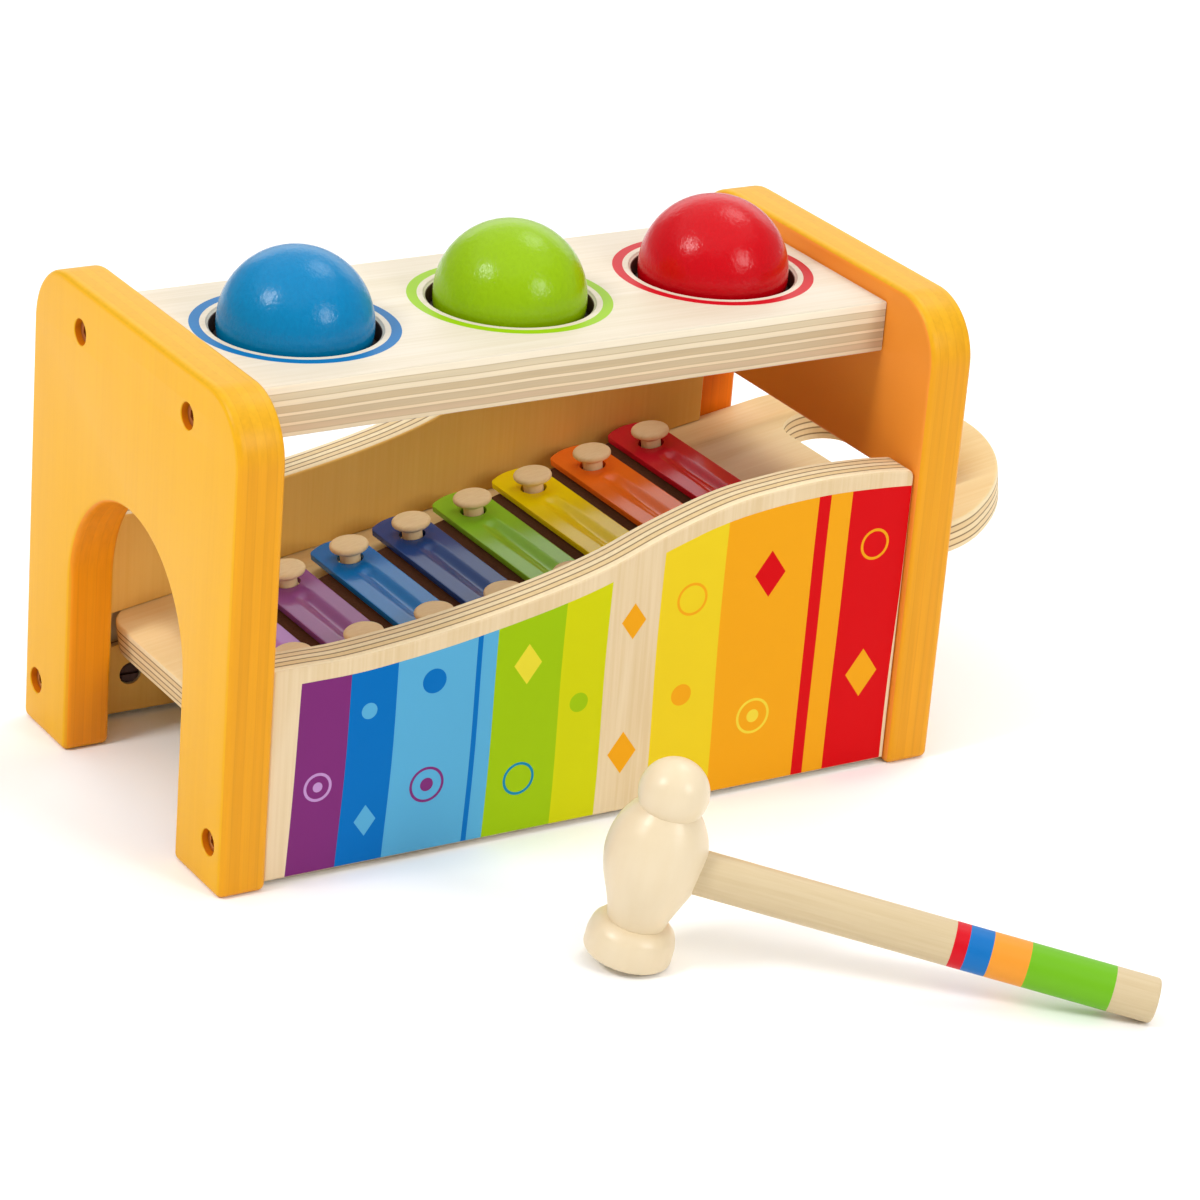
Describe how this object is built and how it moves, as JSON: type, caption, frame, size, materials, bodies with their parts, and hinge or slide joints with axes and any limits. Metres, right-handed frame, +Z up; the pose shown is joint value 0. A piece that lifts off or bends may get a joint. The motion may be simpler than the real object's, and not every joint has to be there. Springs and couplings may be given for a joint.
{
  "type": "pounding bench",
  "caption": "Wooden pounding bench with balls held in rubber rings over a sloping slide-out xylophone, and a loose mallet.",
  "frame": {"origin": "on the ground, under the middle of the box round bench and mallet together", "axes": "+X along the bench, towards the end the xylophone slides out of; +Y from the printed front wall towards the back; +Z up"},
  "size_m": [0.3073, 0.3122, 0.1728],
  "materials": {
    "amber_stained_plywood": "stained and lacquered, satin",
    "clear_birch_plywood": "clear lacquered, satin",
    "printed_birch_plywood": "printed in colour stripes, satin",
    "plain_plywood": "bare, matte",
    "bronzed_steel": "bronzed",
    "zinc_plated_steel": "zinc plated",
    "brown_rubber": "matte",
    "blue_lacquer": "gloss lacquer",
    "green_lacquer": "gloss lacquer",
    "red_lacquer": "gloss lacquer",
    "dark_felt": "felt",
    "lilac_enamel": "gloss enamel",
    "purple_enamel": "gloss enamel",
    "blue_enamel": "gloss enamel",
    "navy_enamel": "gloss enamel",
    "green_enamel": "gloss enamel",
    "yellow_enamel": "gloss enamel",
    "orange_enamel": "gloss enamel",
    "crimson_enamel": "gloss enamel",
    "turned_beech": "bare, matte",
    "lacquered_maple": "clear lacquered, satin",
    "banded_beech": "clear lacquered with painted bands, satin"
  },
  "bodies": {
    "bench": {"left_end_panel": "amber_stained_plywood", "right_end_panel": "amber_stained_plywood", "top_board": "clear_birch_plywood", "front_wall": "printed_birch_plywood", "back_wall": "plain_plywood", "top_screw_left_front": "bronzed_steel", "top_screw_left_back": "bronzed_steel", "top_screw_right_front": "bronzed_steel", "top_screw_right_back": "bronzed_steel", "wall_bolt_left_front": "zinc_plated_steel", "wall_bolt_left_back": "zinc_plated_steel", "wall_bolt_right_front": "zinc_plated_steel", "wall_bolt_right_back": "zinc_plated_steel", "barrel_nut_left_front": "zinc_plated_steel", "barrel_nut_left_back": "zinc_plated_steel", "barrel_nut_right_front": "zinc_plated_steel", "barrel_nut_right_back": "zinc_plated_steel", "ring_blue": "brown_rubber", "ring_green": "brown_rubber", "ring_red": "brown_rubber"},
    "xylophone": {"xylophone_board": "plain_plywood", "felt_pad": "dark_felt", "key_1": "lilac_enamel", "key_2": "purple_enamel", "key_3": "blue_enamel", "key_4": "navy_enamel", "key_5": "green_enamel", "key_6": "yellow_enamel", "key_7": "orange_enamel", "key_8": "crimson_enamel", "peg_front_1": "turned_beech", "peg_front_2": "turned_beech", "peg_front_3": "turned_beech", "peg_front_4": "turned_beech", "peg_front_5": "turned_beech", "peg_front_6": "turned_beech", "peg_front_7": "turned_beech", "peg_front_8": "turned_beech", "peg_back_1": "turned_beech", "peg_back_2": "turned_beech", "peg_back_3": "turned_beech", "peg_back_4": "turned_beech", "peg_back_5": "turned_beech", "peg_back_6": "turned_beech", "peg_back_7": "turned_beech", "peg_back_8": "turned_beech"},
    "blue_ball": {"ball_blue": "blue_lacquer"},
    "green_ball": {"ball_green": "green_lacquer"},
    "red_ball": {"ball_red": "red_lacquer"},
    "mallet": {"mallet_head": "lacquered_maple", "mallet_handle": "banded_beech"}
  },
  "joints": [
    {"name": "xylophone_slide", "type": "slide", "parent": "bench", "child": "xylophone", "axis": [0.9864, 0, 0.1645], "range_m": [0, 0.2]},
    {"name": "ball_blue_drop", "type": "slide", "parent": "bench", "child": "blue_ball", "axis": [0, 0, 1], "range_m": [-0.074, 0.06], "deforming": ["ring_blue"]},
    {"name": "ball_green_drop", "type": "slide", "parent": "bench", "child": "green_ball", "axis": [0, 0, 1], "range_m": [-0.0615, 0.06], "deforming": ["ring_green"]},
    {"name": "ball_red_drop", "type": "slide", "parent": "bench", "child": "red_ball", "axis": [0, 0, 1], "range_m": [-0.0495, 0.06], "deforming": ["ring_red"]},
    {"name": "mallet_lift", "type": "slide", "parent": "bench", "child": "mallet", "axis": [0, 0, 1], "range_m": [0, 0.1]}
  ]
}
